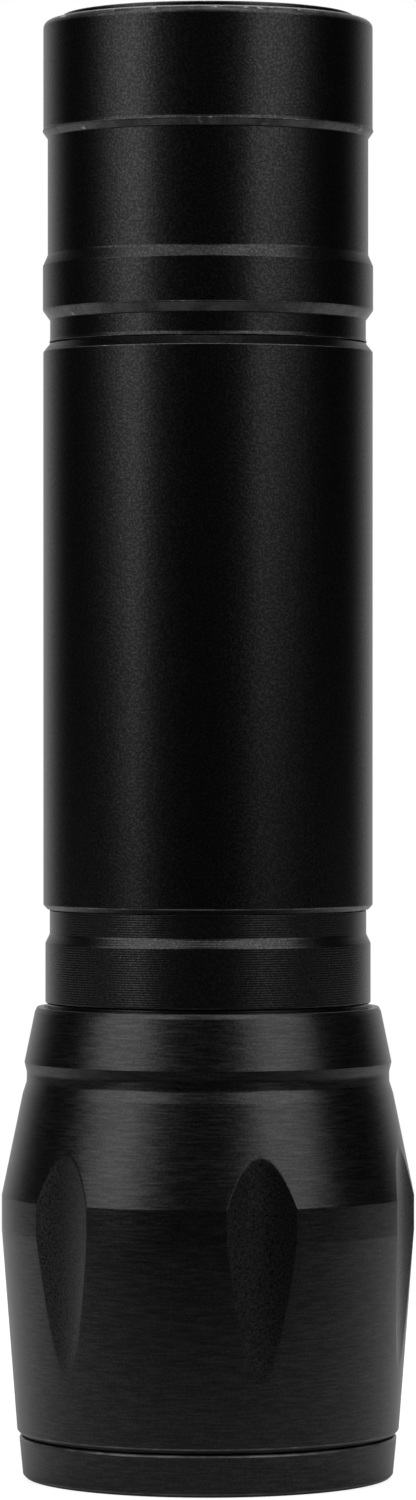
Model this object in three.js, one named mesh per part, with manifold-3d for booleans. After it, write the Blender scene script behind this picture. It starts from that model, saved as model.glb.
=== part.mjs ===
// A push-pull zoom flashlight for three AAA cells, turned from black anodised aluminium.
// It stands on its front ring with the switch end up: millimetres, +Z up, and the origin
// at the centre of the front ring's flat face.
import * as THREE from "three";
import { mergeVertices } from "three/addons/utils/BufferGeometryUtils.js";
import Module from "manifold-3d";

const wasm = await Module();
wasm.setup();

// Fits
const slideGap = 0.12; // radial, between the head's bore and the neck
const threadGap = 0.12; // radial, between a screwed spigot and its socket
const layInGap = 0.15; // radial, round a piece that is laid into its bore
const seatGap = 0.05; // axial, between two faces that seat on each other
const seamGap = 0.08; // axial, at the visible joint of two turned pieces
const reliefGap = 0.3; // axial, past the end of a spigot or of a stroke

// Cells and the cage that carries them
const cellDiameter = 10.2;
const cellLength = 44.5;
const cellNubDiameter = 3.8;
const cellNubHeight = 0.9;
const cellEdge = 0.5;
const cellGap = 0.1;
const cellCount = 3;
const cellSpringHeight = 2.5;
const cellSpringRadius = 2.6;
const cellSpringWire = 0.5;
const cellSpringTurns = 2;
const cellContactRadius = 3;
const cellContactThickness = 0.3;
const cageGap = 0.25; // radial, between the cells and the bore
const cagePlateInset = 0.2; // how far the plates stay inside the circle round the cells
const cagePlateThickness = 2.4;
const cagePostInset = 0.1; // of a post from the plates' edge
const cagePostGap = 0.4; // between a post and the two cells beside it
const cageContactRadius = 3.8;
const cageContactThickness = 0.8;
const cageContactProud = 0.3;

// Grip tube
const socketWall = 0.78; // left round the tube's screwed sockets
const tubeFrontEdge = 0.35;
const tubeRearChamferLength = 0.69;
const tubeRearChamferDepth = 0.55;
const spigotWall = 1.05; // of the two screwed spigots that enter the tube
const spigotChamfer = 0.25;
const cageSetback = 1.51; // from the tube's rear face to the cage's rear contact

// Neck
const neckSlideStep = 0.42; // sliding surface below the tube's surface
const neckBandStep = 0.16; // striped band below the tube's surface
const neckGrooveStep = 0.51;
const neckBandLength = 4.7;
const neckBandEdge = 0.12;
const neckChamferLength = 1.04;
const neckGrooveLength = 1.73;
const neckSpigotLength = 5.7;
const neckFrontChamfer = 0.3;
const neckShadowGap = 0.29; // open gap between the closed head and the band
const zoomSealSection = 0.86;
const zoomSealPlay = 0.05;
const zoomSealSlack = 0.34; // axial, in its groove
const zoomSealLead = 1.3; // from the head's stop to the middle of the seal

// Zoom head
const zoomTravel = 8.5;
const stopLedge = 0.5; // how far the pill's flange reaches under the head's stop
const chamberGap = 0.3;
const lensLedge = 0.5; // width of the lens's seat
const headFrontWall = 0.96;
const headFrontChamferDepth = 0.3;
const headFrontChamferLength = 0.3;
const headSwell = 1.24; // from the front edge to the widest band
const headTaperLength = 16.41;
const headBandLength = 2.73;
const headConeLength = 8.21;
const coveFallLength = 1.69; // from the cone's top to the cove's floor
const coveRiseLength = 0.8; // from the cove's floor to the collar
const coveDepth = 0.27;
const collarLip = 0.19; // collar's front edge above the cove's floor
const collarLength = 4.42;
const collarRearWall = 0.98; // round the sliding bore
const collarSwell = 0.84; // from the collar's rear edge to its front edge
const collarEdge = 0.25;
const headMouthChamfer = 0.3;
const fluteCount = 6;
const fluteDepth = 0.82;
const fluteCutterRadius = 7.2;
const flutePhase = 15; // degrees from -Y towards +X

// Front ring
const bezelHeight = 3.34;
const bezelSeam = 0.16;
const bezelStep = 0.16; // ring's widest edge below the head's front edge
const bezelTaper = 0.3;
const bezelFrontEdge = 0.24;
const bezelRearChamfer = 0.2;
const bezelSpigotLength = 3.3;
const bezelSpigotWall = 1.8;
const bezelLip = 0.6; // how far the front lip stands in from the spigot's bore
const bezelLipThickness = 0.8;
const bezelMouthDepth = 1.5;
const bezelMouthFlare = 0.8;

// Lens and its seal
const lensDomeGap = 0.28; // radial, between the dome and the ring's bore
const lensFlangeThickness = 1.4;
const lensSunk = 1.1; // lens's crown behind the front face
const lensSealSection = 1;
const floodGap = 3.9; // from the lens to the emitter's board with the head pushed in

// Emitter, heat sink and driver
const ledBoardThickness = 1.6;
const ledNotchGap = 0.3; // between a lead and the notch that it passes
const ledNotchCount = 6;
const ledBaseSide = 3.5;
const ledBaseHeight = 0.8;
const ledDomeRadius = 1.5;
const leadDiameter = 1;
const leadInset = 1.1; // of the leads from the board's edge
const leadHoleGap = 0.35;
const leadPadOffset = 5;
const leadRise = 0.6;
const pillFlangeThickness = 2.3;
const pillLength = 15.9;
const pillStep = 0.4; // pill's bore below the cells' bore
const pillCupWall = 1.03;
const pillCupDepth = 8;
const driverThickness = 1.2;
const driverLedge = 0.45;
const driverSpringHeight = 3.8;
const driverSpringRadius = 3.2;
const driverSpringWire = 0.6;
const driverSpringTurns = 2.6;
const inductorRadius = 2.6;
const inductorHeight = 3.2;
const inductorOffset = 4;
const chipSize = 5;
const chipHeight = 1.6;
const chipOffset = 4;

// Tail cap
const capSpigotLength = 6.5;
const capGrooveStep = 0.55;
const capRingProud = 0.03;
const capWaistStep = 0.36;
const capEndStep = 0.01;
const capGrooveLength = 1.78;
const capGrooveChamfer = 0.81;
const capRingLength = 3.54;
const capFlareLength = 0.89;
const capWaistLength = 9.35;
const capStepLength = 0.59;
const capEndLength = 8.85;
const capEndEdge = 0.75;
const lipHeight = 0.44;
const lipStep = 1.5; // lip's side in from the cap's side
const lipEdge = 0.12;
const recessMargin = 2; // from the boot's side to the recess's side
const recessDepth = 1.9;
const recessBevel = 0.25;
const webThickness = 1.9;
const tailSealSection = 0.62;
const tailSealPlay = 0.05;
const tailSealSlack = 0.38; // axial, in its groove
const tailSealSetback = 0.6; // from the cap's shoulder to the seal's groove

// Switch module in the tail cap
const bootInset = 4.4; // of the boot's side from the cap's bore
const bootFlangeInset = 1.7;
const bootFlangeThickness = 1.2;
const bootWall = 1.2;
const bootSunk = 0.35; // boot's top below the lip
const bootEdge = 1;
const plungerHeadGap = 1.3; // radial, in the boot's cavity
const plungerHeadHeight = 1.4;
const plungerStemRadius = 2.3;
const plungerStemLength = 9;
const plungerGap = 0.15; // between the plunger and the boot
const pressTravel = 1.6;
const switchSpringPressed = 1.8; // height of the return spring at the end of the press
const switchSpringRadius = 1.6;
const switchSpringWire = 0.4;
const switchSpringTurns = 3;
const switchHolderWall = 3.6;
const switchBoardThickness = 1.6;
const retainerThickness = 2.4;
const retainerHoleGap = 1.6; // radial, round the contact spring
const retainerSlotWidth = 2;
const retainerSlotDepth = 1;
const tailContactGap = 3.6; // from the cage's rear contact to the retainer
const tailSpringRadius = 4.2;
const tailSpringWire = 0.8;
const tailSpringTurns = 3.5;

// Facets
const shellSides = 48;
const innerSides = 32;
const smallSides = 20;
const sealSides = 6;
const cutterSides = 96;
const coilSides = 5;
const coilSteps = 8; // in one turn
const leadSteps = 14;
const lensSteps = 7;
const edgeSteps = 3;
const notchSteps = 4;

// Radii, from the cells outwards
const cellRadius = cellDiameter / 2;
const cellCircle = (cellDiameter + cellGap) / (2 * Math.sin(Math.PI / cellCount));
const cageRadius = cellCircle + cellRadius;
const cagePlateRadius = cageRadius - cagePlateInset;
const boreRadius = cageRadius + cageGap;
const spigotRadius = boreRadius + spigotWall;
const socketRadius = spigotRadius + threadGap;
const tubeRadius = socketRadius + socketWall;
const pillBoreRadius = boreRadius - pillStep;
const pillRadius = pillBoreRadius - threadGap;
const slideRadius = tubeRadius - neckSlideStep;
const headBoreRadius = slideRadius + slideGap;
const flangeRadius = headBoreRadius + stopLedge;
const chamberRadius = flangeRadius + chamberGap;
const lensRadius = chamberRadius + lensLedge;
const headSocketRadius = lensRadius + layInGap;
const headFrontRadius = headSocketRadius + headFrontWall;
const headWideRadius = headFrontRadius + headSwell;
const collarRearRadius = headBoreRadius + collarRearWall;
const collarRadius = collarRearRadius + collarSwell;
const coveRadius = collarRadius - collarLip;
const coneTopRadius = coveRadius + coveDepth;
const bezelRadius = headFrontRadius - bezelStep;
const bezelSpigotRadius = headSocketRadius - threadGap;
const bezelBoreRadius = bezelSpigotRadius - bezelSpigotWall;
const lensDomeRadius = bezelBoreRadius - lensDomeGap;
const pillCupRadius = pillRadius - pillCupWall;
const leadHoleRadius = leadDiameter / 2 + leadHoleGap;
const leadOffset = pillCupRadius - leadHoleRadius;
const ledBoardRadius = leadOffset + leadInset;
const ledNotchRadius = leadInset + leadDiameter / 2 + ledNotchGap;
const bootRadius = boreRadius - bootInset;
const bootCavityRadius = bootRadius - bootWall;
const recessRadius = bootRadius + recessMargin;
const switchHolderRadius = boreRadius - layInGap;
const switchSleeveRadius = switchHolderRadius - switchHolderWall;

// Heights along the axis, from the front face up
const headFront = bezelHeight + bezelSeam;
const headWide = headFront + headTaperLength;
const headShoulder = headWide + headBandLength;
const coneTop = headShoulder + headConeLength;
const coveFloor = coneTop + coveFallLength;
const collarFront = coveFloor + coveRiseLength;
const headRear = collarFront + collarLength;
const neckShoulder = headRear + neckShadowGap;
const neckBandRear = neckShoulder + neckBandLength;
const neckGrooveFront = neckBandRear + neckChamferLength;
const neckRear = neckGrooveFront + neckGrooveLength;
const tubeFront = neckRear + seamGap;
const bezelSpigotRear = bezelHeight + bezelSpigotLength;
const lensFlangeFront = bezelSpigotRear + lensSealSection + 2 * seatGap;
const lensBack = lensFlangeFront + lensFlangeThickness;
const lensSeat = lensBack + seatGap;
const ledBoardFront = lensBack + floodGap;
const pillFront = ledBoardFront + ledBoardThickness + seatGap;
const flangeRear = pillFront + pillFlangeThickness;
const neckFront = flangeRear + seatGap;
const headStop = flangeRear + zoomTravel + reliefGap;
const zoomSealMiddle = headStop + zoomSealLead;
const pillRear = flangeRear + pillLength;
const pillCupFloor = pillRear - pillCupDepth;
const driverFront = pillRear - driverThickness;
const cageFront = pillRear + driverSpringHeight;
const cageFrontPlate = cageFront + cageContactProud;
const cellBay = cageFrontPlate + cagePlateThickness;
const cellBayLength = cellLength + cellSpringHeight + cellContactThickness + 3 * seatGap;
const cageRearPlate = cellBay + cellBayLength;
const cageRear = cageRearPlate + cagePlateThickness + cageContactProud;
const tubeRear = cageRear + cageSetback;
const capFront = tubeRear + seamGap;
const capSpigotFront = tubeRear - capSpigotLength;
const capGrooveRear = capFront + capGrooveLength;
const capRingFront = capGrooveRear + capGrooveChamfer;
const capRingRear = capRingFront + capRingLength;
const capWaistFront = capRingRear + capFlareLength;
const capWaistRear = capWaistFront + capWaistLength;
const capEndFront = capWaistRear + capStepLength;
const tailShoulder = capEndFront + capEndLength;
const lipTop = tailShoulder + lipHeight;
const webRear = lipTop - recessDepth;
const webFront = webRear - webThickness;
const retainerFront = cageRear + tailContactGap;
const switchBoardFront = retainerFront + retainerThickness + seatGap;
const holderFront = switchBoardFront + switchBoardThickness + seatGap;
const bootFront = webFront - seatGap - bootFlangeThickness;
const holderRear = bootFront - seatGap;
const bootTop = lipTop - bootSunk;
const bootCeiling = bootTop - bootWall;
const plungerTop = bootCeiling - plungerGap;
const stemTop = plungerTop - plungerHeadHeight;
const stemFoot = stemTop - plungerStemLength;
const switchSpringHeight = switchSpringPressed + pressTravel;
const switchSpringFloor = stemFoot - switchSpringHeight - 2 * seatGap;

// Finishes
const blackAnodised = { color: 0x19191b, roughness: 0.48, metalness: 0.55 };
const turnedAnodised = { color: 0x1e1e20, roughness: 0.4, metalness: 0.65 };
const bareAluminium = { color: 0xb9bcc0, roughness: 0.35, metalness: 0.95 };
const clearAcrylic = { color: 0xeaf1f4, roughness: 0.04, metalness: 0, transparent: true, opacity: 0.4 };
const blackRubber = { color: 0x141414, roughness: 0.8, metalness: 0 };
const blackPlastic = { color: 0x1c1c1d, roughness: 0.55, metalness: 0 };
const whiteSolderMask = { color: 0xe9ebe8, roughness: 0.4, metalness: 0 };
const greenSolderMask = { color: 0x1f5a38, roughness: 0.35, metalness: 0 };
const nickelPlate = { color: 0xc9c7bf, roughness: 0.25, metalness: 1 };
const springSteel = { color: 0x9a9b9e, roughness: 0.3, metalness: 1 };
const cellWrap = { color: 0x51606c, roughness: 0.35, metalness: 0.2 };
const emitterCeramic = { color: 0xf1efe6, roughness: 0.5, metalness: 0 };
const emitterDome = { color: 0xf3d64a, roughness: 0.1, metalness: 0, transparent: true, opacity: 0.75 };
const redSleeve = { color: 0xa81f1c, roughness: 0.5, metalness: 0 };
const blackSleeve = { color: 0x161616, roughness: 0.5, metalness: 0 };

// One named piece.
function piece(name, geometry, finish) {
  const mesh = new THREE.Mesh(geometry, new THREE.MeshStandardMaterial(finish));
  mesh.name = name;
  return mesh;
}

// A piece moved to its place.
function at(height, mesh, x = 0, y = 0) {
  mesh.position.set(x, y, height);
  return mesh;
}

// Pieces that belong together.
function group(...pieces) {
  const held = new THREE.Group();
  held.add(...pieces);
  return held;
}

// A body of revolution about Z. The outline lists [radius, height] points with the outer
// side upwards, and closes on itself unless both of its ends lie on the axis.
function turned(outline, sides = shellSides) {
  const points = outline.map(([radius, height]) => new THREE.Vector2(radius, height));
  const onAxis = points[0].x === 0 && points.at(-1).x === 0;
  if (!onAxis) points.push(points[0].clone());
  return new THREE.LatheGeometry(points, sides).rotateX(Math.PI / 2);
}

// A plain disc or bar about Z, standing on height 0.
function disc(radius, height, sides = innerSides) {
  return turned([[0, 0], [radius, 0], [radius, height], [0, height]], sides);
}

// A ring of round section about Z, centred on height 0.
function sealRing(innerRadius, section, sides = shellSides) {
  const middle = innerRadius + section / 2;
  const outline = [];
  for (let side = 0; side < sealSides; side += 1) {
    const angle = (2 * Math.PI * side) / sealSides;
    outline.push([middle + (section / 2) * Math.cos(angle), (section / 2) * Math.sin(angle)]);
  }
  return turned(outline, sides);
}

// A quarter round in the outline's plane, from the side of a body to its top.
function roundedEdge(radius, height, size) {
  const points = [];
  for (let step = 0; step <= edgeSteps; step += 1) {
    const angle = (Math.PI / 2) * (step / edgeSteps);
    points.push([radius - size + size * Math.cos(angle), height - size + size * Math.sin(angle)]);
  }
  return points;
}

// A spherical dome in the outline's plane, from its crown on the axis up to its rim.
function domeOutline(crown, rimRadius, rise) {
  const curve = (rimRadius ** 2 + rise ** 2) / (2 * rise);
  const halfAngle = Math.atan2(rimRadius, curve - rise);
  const points = [];
  for (let step = 0; step <= lensSteps; step += 1) {
    const angle = halfAngle * (step / lensSteps);
    points.push([curve * Math.sin(angle), crown + curve * (1 - Math.cos(angle))]);
  }
  return points;
}

// The closed solid that a geometry bounds.
function solidOf(geometry) {
  const bare = geometry.clone();
  bare.deleteAttribute("normal");
  bare.deleteAttribute("uv");
  const merged = mergeVertices(bare, 1e-4);
  const corners = merged.index.array;
  const kept = [];
  for (let i = 0; i < corners.length; i += 3) {
    const [a, b, c] = corners.slice(i, i + 3);
    if (a !== b && b !== c && c !== a) kept.push(a, b, c);
  }
  const vertProperties = merged.attributes.position.array;
  return new wasm.Manifold(new wasm.Mesh({ numProp: 3, vertProperties, triVerts: Uint32Array.from(kept) }));
}

// A geometry with the faces of a solid.
function geometryOf(solid) {
  const { vertProperties, triVerts } = solid.getMesh();
  const geometry = new THREE.BufferGeometry();
  geometry.setAttribute("position", new THREE.BufferAttribute(vertProperties, 3));
  geometry.setIndex(new THREE.BufferAttribute(triVerts, 1));
  geometry.computeVertexNormals();
  return geometry;
}

// A geometry with others cut out of it.
function cut(geometry, ...cutters) {
  return geometryOf(cutters.reduce((solid, cutter) => solid.subtract(solidOf(cutter)), solidOf(geometry)));
}

// A coil spring about Z, standing on height 0: round wire carried up a helix. It prints the
// least gap between its turns.
function coilSpring(name, { radius, wire, height, turns }) {
  const steps = Math.round(turns * coilSteps);
  const rise = height - wire;
  const positions = [];
  const centres = [];
  for (let step = 0; step <= steps; step += 1) {
    const turn = (2 * Math.PI * turns * step) / steps;
    const middle = wire / 2 + (rise * step) / steps;
    centres.push(new THREE.Vector3(radius * Math.cos(turn), radius * Math.sin(turn), middle));
    for (let side = 0; side < coilSides; side += 1) {
      const angle = (2 * Math.PI * side) / coilSides;
      const reach = radius + (wire / 2) * Math.cos(angle);
      positions.push(reach * Math.cos(turn), reach * Math.sin(turn), middle + (wire / 2) * Math.sin(angle));
    }
  }
  const faces = [];
  for (let step = 0; step < steps; step += 1) {
    for (let side = 0; side < coilSides; side += 1) {
      const a = step * coilSides + side;
      const b = step * coilSides + ((side + 1) % coilSides);
      faces.push(a, a + coilSides, b, b, a + coilSides, b + coilSides);
    }
  }
  const last = steps * coilSides;
  for (let side = 1; side < coilSides - 1; side += 1) {
    faces.push(0, side, side + 1, last, last + side + 1, last + side);
  }
  let leastGap = Infinity;
  centres.forEach((near, i) => {
    centres.slice(i + coilSteps / 2).forEach((far) => {
      leastGap = Math.min(leastGap, near.distanceTo(far) - wire);
    });
  });
  console.log(`${name}: least gap between turns ${leastGap.toFixed(2)} mm`);
  const geometry = new THREE.BufferGeometry();
  geometry.setAttribute("position", new THREE.Float32BufferAttribute(positions, 3));
  geometry.setIndex(faces);
  geometry.computeVertexNormals();
  return piece(name, geometry, springSteel);
}

// A round sleeved lead along a smooth curve through the given points.
function lead(name, points, finish) {
  const section = new THREE.Shape().absarc(0, 0, leadDiameter / 2, 0, 2 * Math.PI);
  const path = new THREE.CatmullRomCurve3(points);
  const geometry = new THREE.ExtrudeGeometry(section, {
    extrudePath: path,
    steps: leadSteps,
    curveSegments: notchSteps,
  });
  return piece(name, geometry, finish);
}

// Front ring: a tapered ring with a flat front face, a bevelled mouth, a lip that keeps the
// lens in and a spigot that screws into the head.
function bezelRing() {
  const frontRadius = bezelRadius - bezelTaper;
  const lipRadius = bezelBoreRadius - bezelLip;
  const lipRear = bezelMouthDepth + bezelLipThickness;
  return turned([
    [lipRadius, bezelMouthDepth],
    [lipRadius + bezelMouthFlare, 0],
    [frontRadius - bezelFrontEdge, 0],
    [frontRadius, bezelFrontEdge],
    [bezelRadius, bezelHeight - bezelRearChamfer],
    [bezelRadius - bezelRearChamfer, bezelHeight],
    [bezelSpigotRadius, bezelHeight],
    [bezelSpigotRadius, bezelSpigotRear],
    [bezelBoreRadius, bezelSpigotRear],
    [bezelBoreRadius, lipRear],
    [lipRadius, lipRear],
  ]);
}

// Lens: a dome of spherical curve in front of a flat flange.
function lens() {
  return turned([
    ...domeOutline(lensSunk, lensDomeRadius, lensFlangeFront - lensSunk),
    [lensRadius, lensFlangeFront],
    [lensRadius, lensBack],
    [0, lensBack],
  ]);
}

// Head: socket for the front ring, seat for the lens, chamber for the pill's flange, stop and
// sliding bore inside. Outside: long taper, widest band, cone, cove and collar, with flutes
// cut by a round cutter that runs parallel to the axis.
function headShell() {
  const shell = turned([
    [headSocketRadius, headFront],
    [headFrontRadius - headFrontChamferDepth, headFront],
    [headFrontRadius, headFront + headFrontChamferLength],
    [headWideRadius, headWide],
    [headWideRadius, headShoulder],
    [coneTopRadius, coneTop],
    [coveRadius + coveDepth / 4, (coneTop + coveFloor) / 2],
    [coveRadius, coveFloor],
    [collarRadius, collarFront],
    [collarRearRadius, headRear - collarEdge],
    [collarRearRadius - collarEdge, headRear],
    [headBoreRadius + headMouthChamfer, headRear],
    [headBoreRadius, headRear - headMouthChamfer],
    [headBoreRadius, headStop],
    [chamberRadius, headStop],
    [chamberRadius, lensSeat],
    [headSocketRadius, lensSeat],
  ]);
  const cutterOffset = headWideRadius - fluteDepth + fluteCutterRadius;
  const cutters = [];
  for (let flute = 0; flute < fluteCount; flute += 1) {
    const angle = THREE.MathUtils.degToRad(flutePhase + (360 * flute) / fluteCount);
    const cutter = new THREE.CylinderGeometry(
      fluteCutterRadius,
      fluteCutterRadius,
      headRear - headFront,
      cutterSides,
    );
    cutter.rotateX(Math.PI / 2);
    cutter.translate(
      cutterOffset * Math.sin(angle),
      -cutterOffset * Math.cos(angle),
      (headFront + headRear) / 2,
    );
    cutters.push(cutter);
  }
  return cut(shell, ...cutters);
}

// Neck: sliding barrel with the seal's groove, striped band, open groove, and a spigot that
// screws into the tube. The pill screws into its front bore.
function neck() {
  const bandRadius = tubeRadius - neckBandStep;
  const grooveRadius = tubeRadius - neckGrooveStep;
  const sealFloor = headBoreRadius - zoomSealSection - 2 * zoomSealPlay;
  const sealHalf = (zoomSealSection + zoomSealSlack) / 2;
  const sealFront = zoomSealMiddle - sealHalf;
  const sealRear = zoomSealMiddle + sealHalf;
  const spigotRear = neckRear + neckSpigotLength;
  return turned([
    [pillBoreRadius, neckFront],
    [slideRadius - neckFrontChamfer, neckFront],
    [slideRadius, neckFront + neckFrontChamfer],
    [slideRadius, sealFront],
    [sealFloor, sealFront],
    [sealFloor, sealRear],
    [slideRadius, sealRear],
    [slideRadius, neckShoulder],
    [bandRadius - neckBandEdge, neckShoulder],
    [bandRadius, neckShoulder + neckBandEdge],
    [bandRadius, neckBandRear],
    [grooveRadius, neckGrooveFront],
    [grooveRadius, neckRear],
    [spigotRadius, neckRear],
    [spigotRadius, spigotRear - spigotChamfer],
    [spigotRadius - spigotChamfer, spigotRear],
    [boreRadius, spigotRear],
    [boreRadius, pillRear + reliefGap],
    [pillBoreRadius, pillRear + reliefGap],
  ]);
}

// Grip tube: a plain bore for the cell cage with a screwed socket at each end.
function bodyTube() {
  const frontSocketEnd = neckRear + neckSpigotLength + reliefGap;
  const rearSocketEnd = capSpigotFront - reliefGap;
  return turned([
    [socketRadius, tubeFront],
    [tubeRadius - tubeFrontEdge, tubeFront],
    [tubeRadius, tubeFront + tubeFrontEdge],
    [tubeRadius, tubeRear - tubeRearChamferLength],
    [tubeRadius - tubeRearChamferDepth, tubeRear],
    [socketRadius, tubeRear],
    [socketRadius, rearSocketEnd],
    [boreRadius, rearSocketEnd],
    [boreRadius, frontSocketEnd],
    [socketRadius, frontSocketEnd],
  ]);
}

// Pill: a flange that stops the head, a heat-sink body screwed into the neck, two holes for
// the leads and a cup at the rear for the driver.
function ledPill() {
  const ledgeRadius = pillCupRadius + driverLedge;
  const ledge = driverFront - seatGap;
  const body = turned([
    [0, pillFront],
    [flangeRadius, pillFront],
    [flangeRadius, flangeRear],
    [pillRadius, flangeRear],
    [pillRadius, pillRear],
    [ledgeRadius, pillRear],
    [ledgeRadius, ledge],
    [pillCupRadius, ledge],
    [pillCupRadius, pillCupFloor],
    [0, pillCupFloor],
  ]);
  const holeLength = pillCupFloor - pillFront + 2 * reliefGap;
  const holes = [-1, 1].map((side) =>
    disc(leadHoleRadius, holeLength, smallSides).translate(side * leadOffset, 0, pillFront - reliefGap),
  );
  return cut(body, ...holes);
}

// Star board: a disc with round notches for its screws and leads.
function starBoard() {
  const outline = new THREE.Shape();
  const halfNotch = 2 * Math.asin(ledNotchRadius / (2 * ledBoardRadius));
  const step = (2 * Math.PI) / ledNotchCount;
  const lean = (Math.PI - halfNotch) / 2;
  for (let notch = 0; notch < ledNotchCount; notch += 1) {
    const angle = notch * step;
    const x = ledBoardRadius * Math.cos(angle);
    const y = ledBoardRadius * Math.sin(angle);
    outline.absarc(x, y, ledNotchRadius, angle + Math.PI + lean, angle + Math.PI - lean, true);
    outline.absarc(0, 0, ledBoardRadius, angle + halfNotch, angle + step - halfNotch, false);
  }
  return new THREE.ExtrudeGeometry(outline, {
    depth: ledBoardThickness,
    bevelEnabled: false,
    curveSegments: notchSteps,
  });
}

// One lead: from its pad on the star board over the edge, through the pill to the driver.
function ledLead(name, side, finish) {
  const start = ledBoardFront - seatGap - leadDiameter / 2;
  const end = driverFront - seatGap - leadDiameter / 2;
  const stations = [
    [leadPadOffset, start],
    [(leadPadOffset + leadOffset) / 2, start - leadRise],
    [leadOffset - leadDiameter / 4, start - leadRise / 2],
    [leadOffset, ledBoardFront + ledBoardThickness / 2],
    [leadOffset, (pillFront + pillCupFloor) / 2],
    [leadOffset, pillCupFloor],
    [leadOffset, (pillCupFloor + end) / 2],
    [leadOffset - leadDiameter / 4, end],
  ];
  return lead(name, stations.map(([x, z]) => new THREE.Vector3(side * x, 0, z)), finish);
}

// One AAA cell standing on its flat end, with its nub up.
function cell() {
  const shoulder = cellLength - cellNubHeight;
  const nubRadius = cellNubDiameter / 2;
  return turned(
    [
      [0, 0],
      [cellRadius - cellEdge, 0],
      [cellRadius, cellEdge],
      [cellRadius, shoulder - cellEdge],
      [cellRadius - cellEdge, shoulder],
      [nubRadius, shoulder],
      [nubRadius, cellLength],
      [0, cellLength],
    ],
    smallSides,
  );
}

// A plate at one end of the cage, with a recess for its contact in the lower face.
function cagePlate() {
  const recess = cageContactThickness - cageContactProud + seatGap;
  const recessWall = cageContactRadius + layInGap;
  return turned(
    [
      [0, recess],
      [recessWall, recess],
      [recessWall, 0],
      [cagePlateRadius, 0],
      [cagePlateRadius, cagePlateThickness],
      [0, cagePlateThickness],
    ],
    innerSides,
  );
}

// One bay of the cage: the cell between the spring at its flat end and the contact at its nub,
// built from the spring's plate upwards.
function cellBayPieces(number) {
  const spring = coilSpring(`cell_spring_${number}`, {
    radius: cellSpringRadius,
    wire: cellSpringWire,
    height: cellSpringHeight - seatGap,
    turns: cellSpringTurns,
  });
  const cellFoot = cellSpringHeight + seatGap;
  const contact = disc(cellContactRadius, cellContactThickness, smallSides);
  return group(
    at(seatGap, spring),
    at(cellFoot, piece(`cell_${number}`, cell(), cellWrap)),
    at(cellFoot + cellLength + seatGap, piece(`cell_contact_${number}`, contact, nickelPlate)),
  );
}

// Radius of a post that reaches out to the given radius and fills the space between two
// cells, up to its gap: its distance to a cell's axis is the sum of both radii and the gap.
function cagePostRadius(reach) {
  const toCell = cellRadius + cagePostGap;
  const along = cellCircle * Math.cos(Math.PI / cellCount);
  const spare = reach ** 2 + cellCircle ** 2 - 2 * reach * along - toCell ** 2;
  return spare / (2 * (reach + toCell - along));
}

// Cell cage: two plates with their contacts, three posts and three cells in series, the
// second of them the other way up.
function cellCage() {
  const contact = disc(cageContactRadius, cageContactThickness);
  const rearPlate = piece("carrier_rear_plate", cagePlate(), blackPlastic);
  rearPlate.rotation.x = Math.PI;
  const cage = group(
    at(cageFrontPlate, piece("carrier_front_plate", cagePlate(), blackPlastic)),
    at(cageRearPlate + cagePlateThickness, rearPlate),
    at(cageFront, piece("carrier_front_contact", contact, nickelPlate)),
    at(cageRear - cageContactThickness, piece("carrier_rear_contact", contact, nickelPlate)),
  );
  const postReach = cagePlateRadius - cagePostInset;
  const postRadius = cagePostRadius(postReach);
  const postShape = disc(postRadius, cellBayLength - 2 * seatGap, smallSides);
  for (let number = 1; number <= cellCount; number += 1) {
    const post = piece(`carrier_post_${number}`, postShape, blackPlastic);
    const postTurn = group(at(cellBay + seatGap, post, postReach - postRadius));
    postTurn.rotation.z = Math.PI / cellCount;
    const nubUp = number === 2;
    const bay = at(nubUp ? cellBay : cageRearPlate, cellBayPieces(number), cellCircle);
    bay.rotation.x = nubUp ? 0 : Math.PI;
    const sector = group(postTurn, bay);
    sector.rotation.z = (2 * Math.PI * number) / cellCount;
    cage.add(sector);
  }
  return cage;
}

// Tail cap: a screwed spigot with the seal's groove, an open groove, a ring, a waist and an
// end band outside, and a raised lip round the recess of the switch's boot.
function tailCap() {
  const grooveRadius = tubeRadius - capGrooveStep;
  const ringRadius = tubeRadius + capRingProud;
  const waistRadius = tubeRadius - capWaistStep;
  const endRadius = tubeRadius - capEndStep;
  const lipRadius = endRadius - lipStep;
  const sealFloor = socketRadius - tailSealSection - 2 * tailSealPlay;
  const sealRear = capFront - tailSealSetback;
  const sealFront = sealRear - tailSealSection - tailSealSlack;
  const bootHole = bootRadius + layInGap;
  return turned([
    [boreRadius, capSpigotFront],
    [spigotRadius - spigotChamfer, capSpigotFront],
    [spigotRadius, capSpigotFront + spigotChamfer],
    [spigotRadius, sealFront],
    [sealFloor, sealFront],
    [sealFloor, sealRear],
    [spigotRadius, sealRear],
    [spigotRadius, capFront],
    [grooveRadius, capFront],
    [grooveRadius, capGrooveRear],
    [ringRadius, capRingFront],
    [ringRadius, capRingRear],
    [waistRadius, capWaistFront],
    [waistRadius, capWaistRear],
    [endRadius, capEndFront],
    ...roundedEdge(endRadius, tailShoulder, capEndEdge),
    [lipRadius, tailShoulder],
    [lipRadius, lipTop - lipEdge],
    [lipRadius - lipEdge, lipTop],
    [recessRadius + recessBevel, lipTop],
    [recessRadius, lipTop - recessBevel],
    [recessRadius, webRear],
    [bootHole, webRear],
    [bootHole, webFront],
    [boreRadius, webFront],
  ]);
}

// Boot: a rubber cap with a flange that is held under the cap's web.
function switchBoot() {
  const flangeRadius = boreRadius - bootFlangeInset;
  return turned([
    [bootCavityRadius, bootFront],
    [flangeRadius, bootFront],
    [flangeRadius, bootFront + bootFlangeThickness],
    [bootRadius, bootFront + bootFlangeThickness],
    ...roundedEdge(bootRadius, bootTop, bootEdge),
    [0, bootTop],
    [0, bootCeiling],
    [bootCavityRadius, bootCeiling],
  ], innerSides);
}

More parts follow.
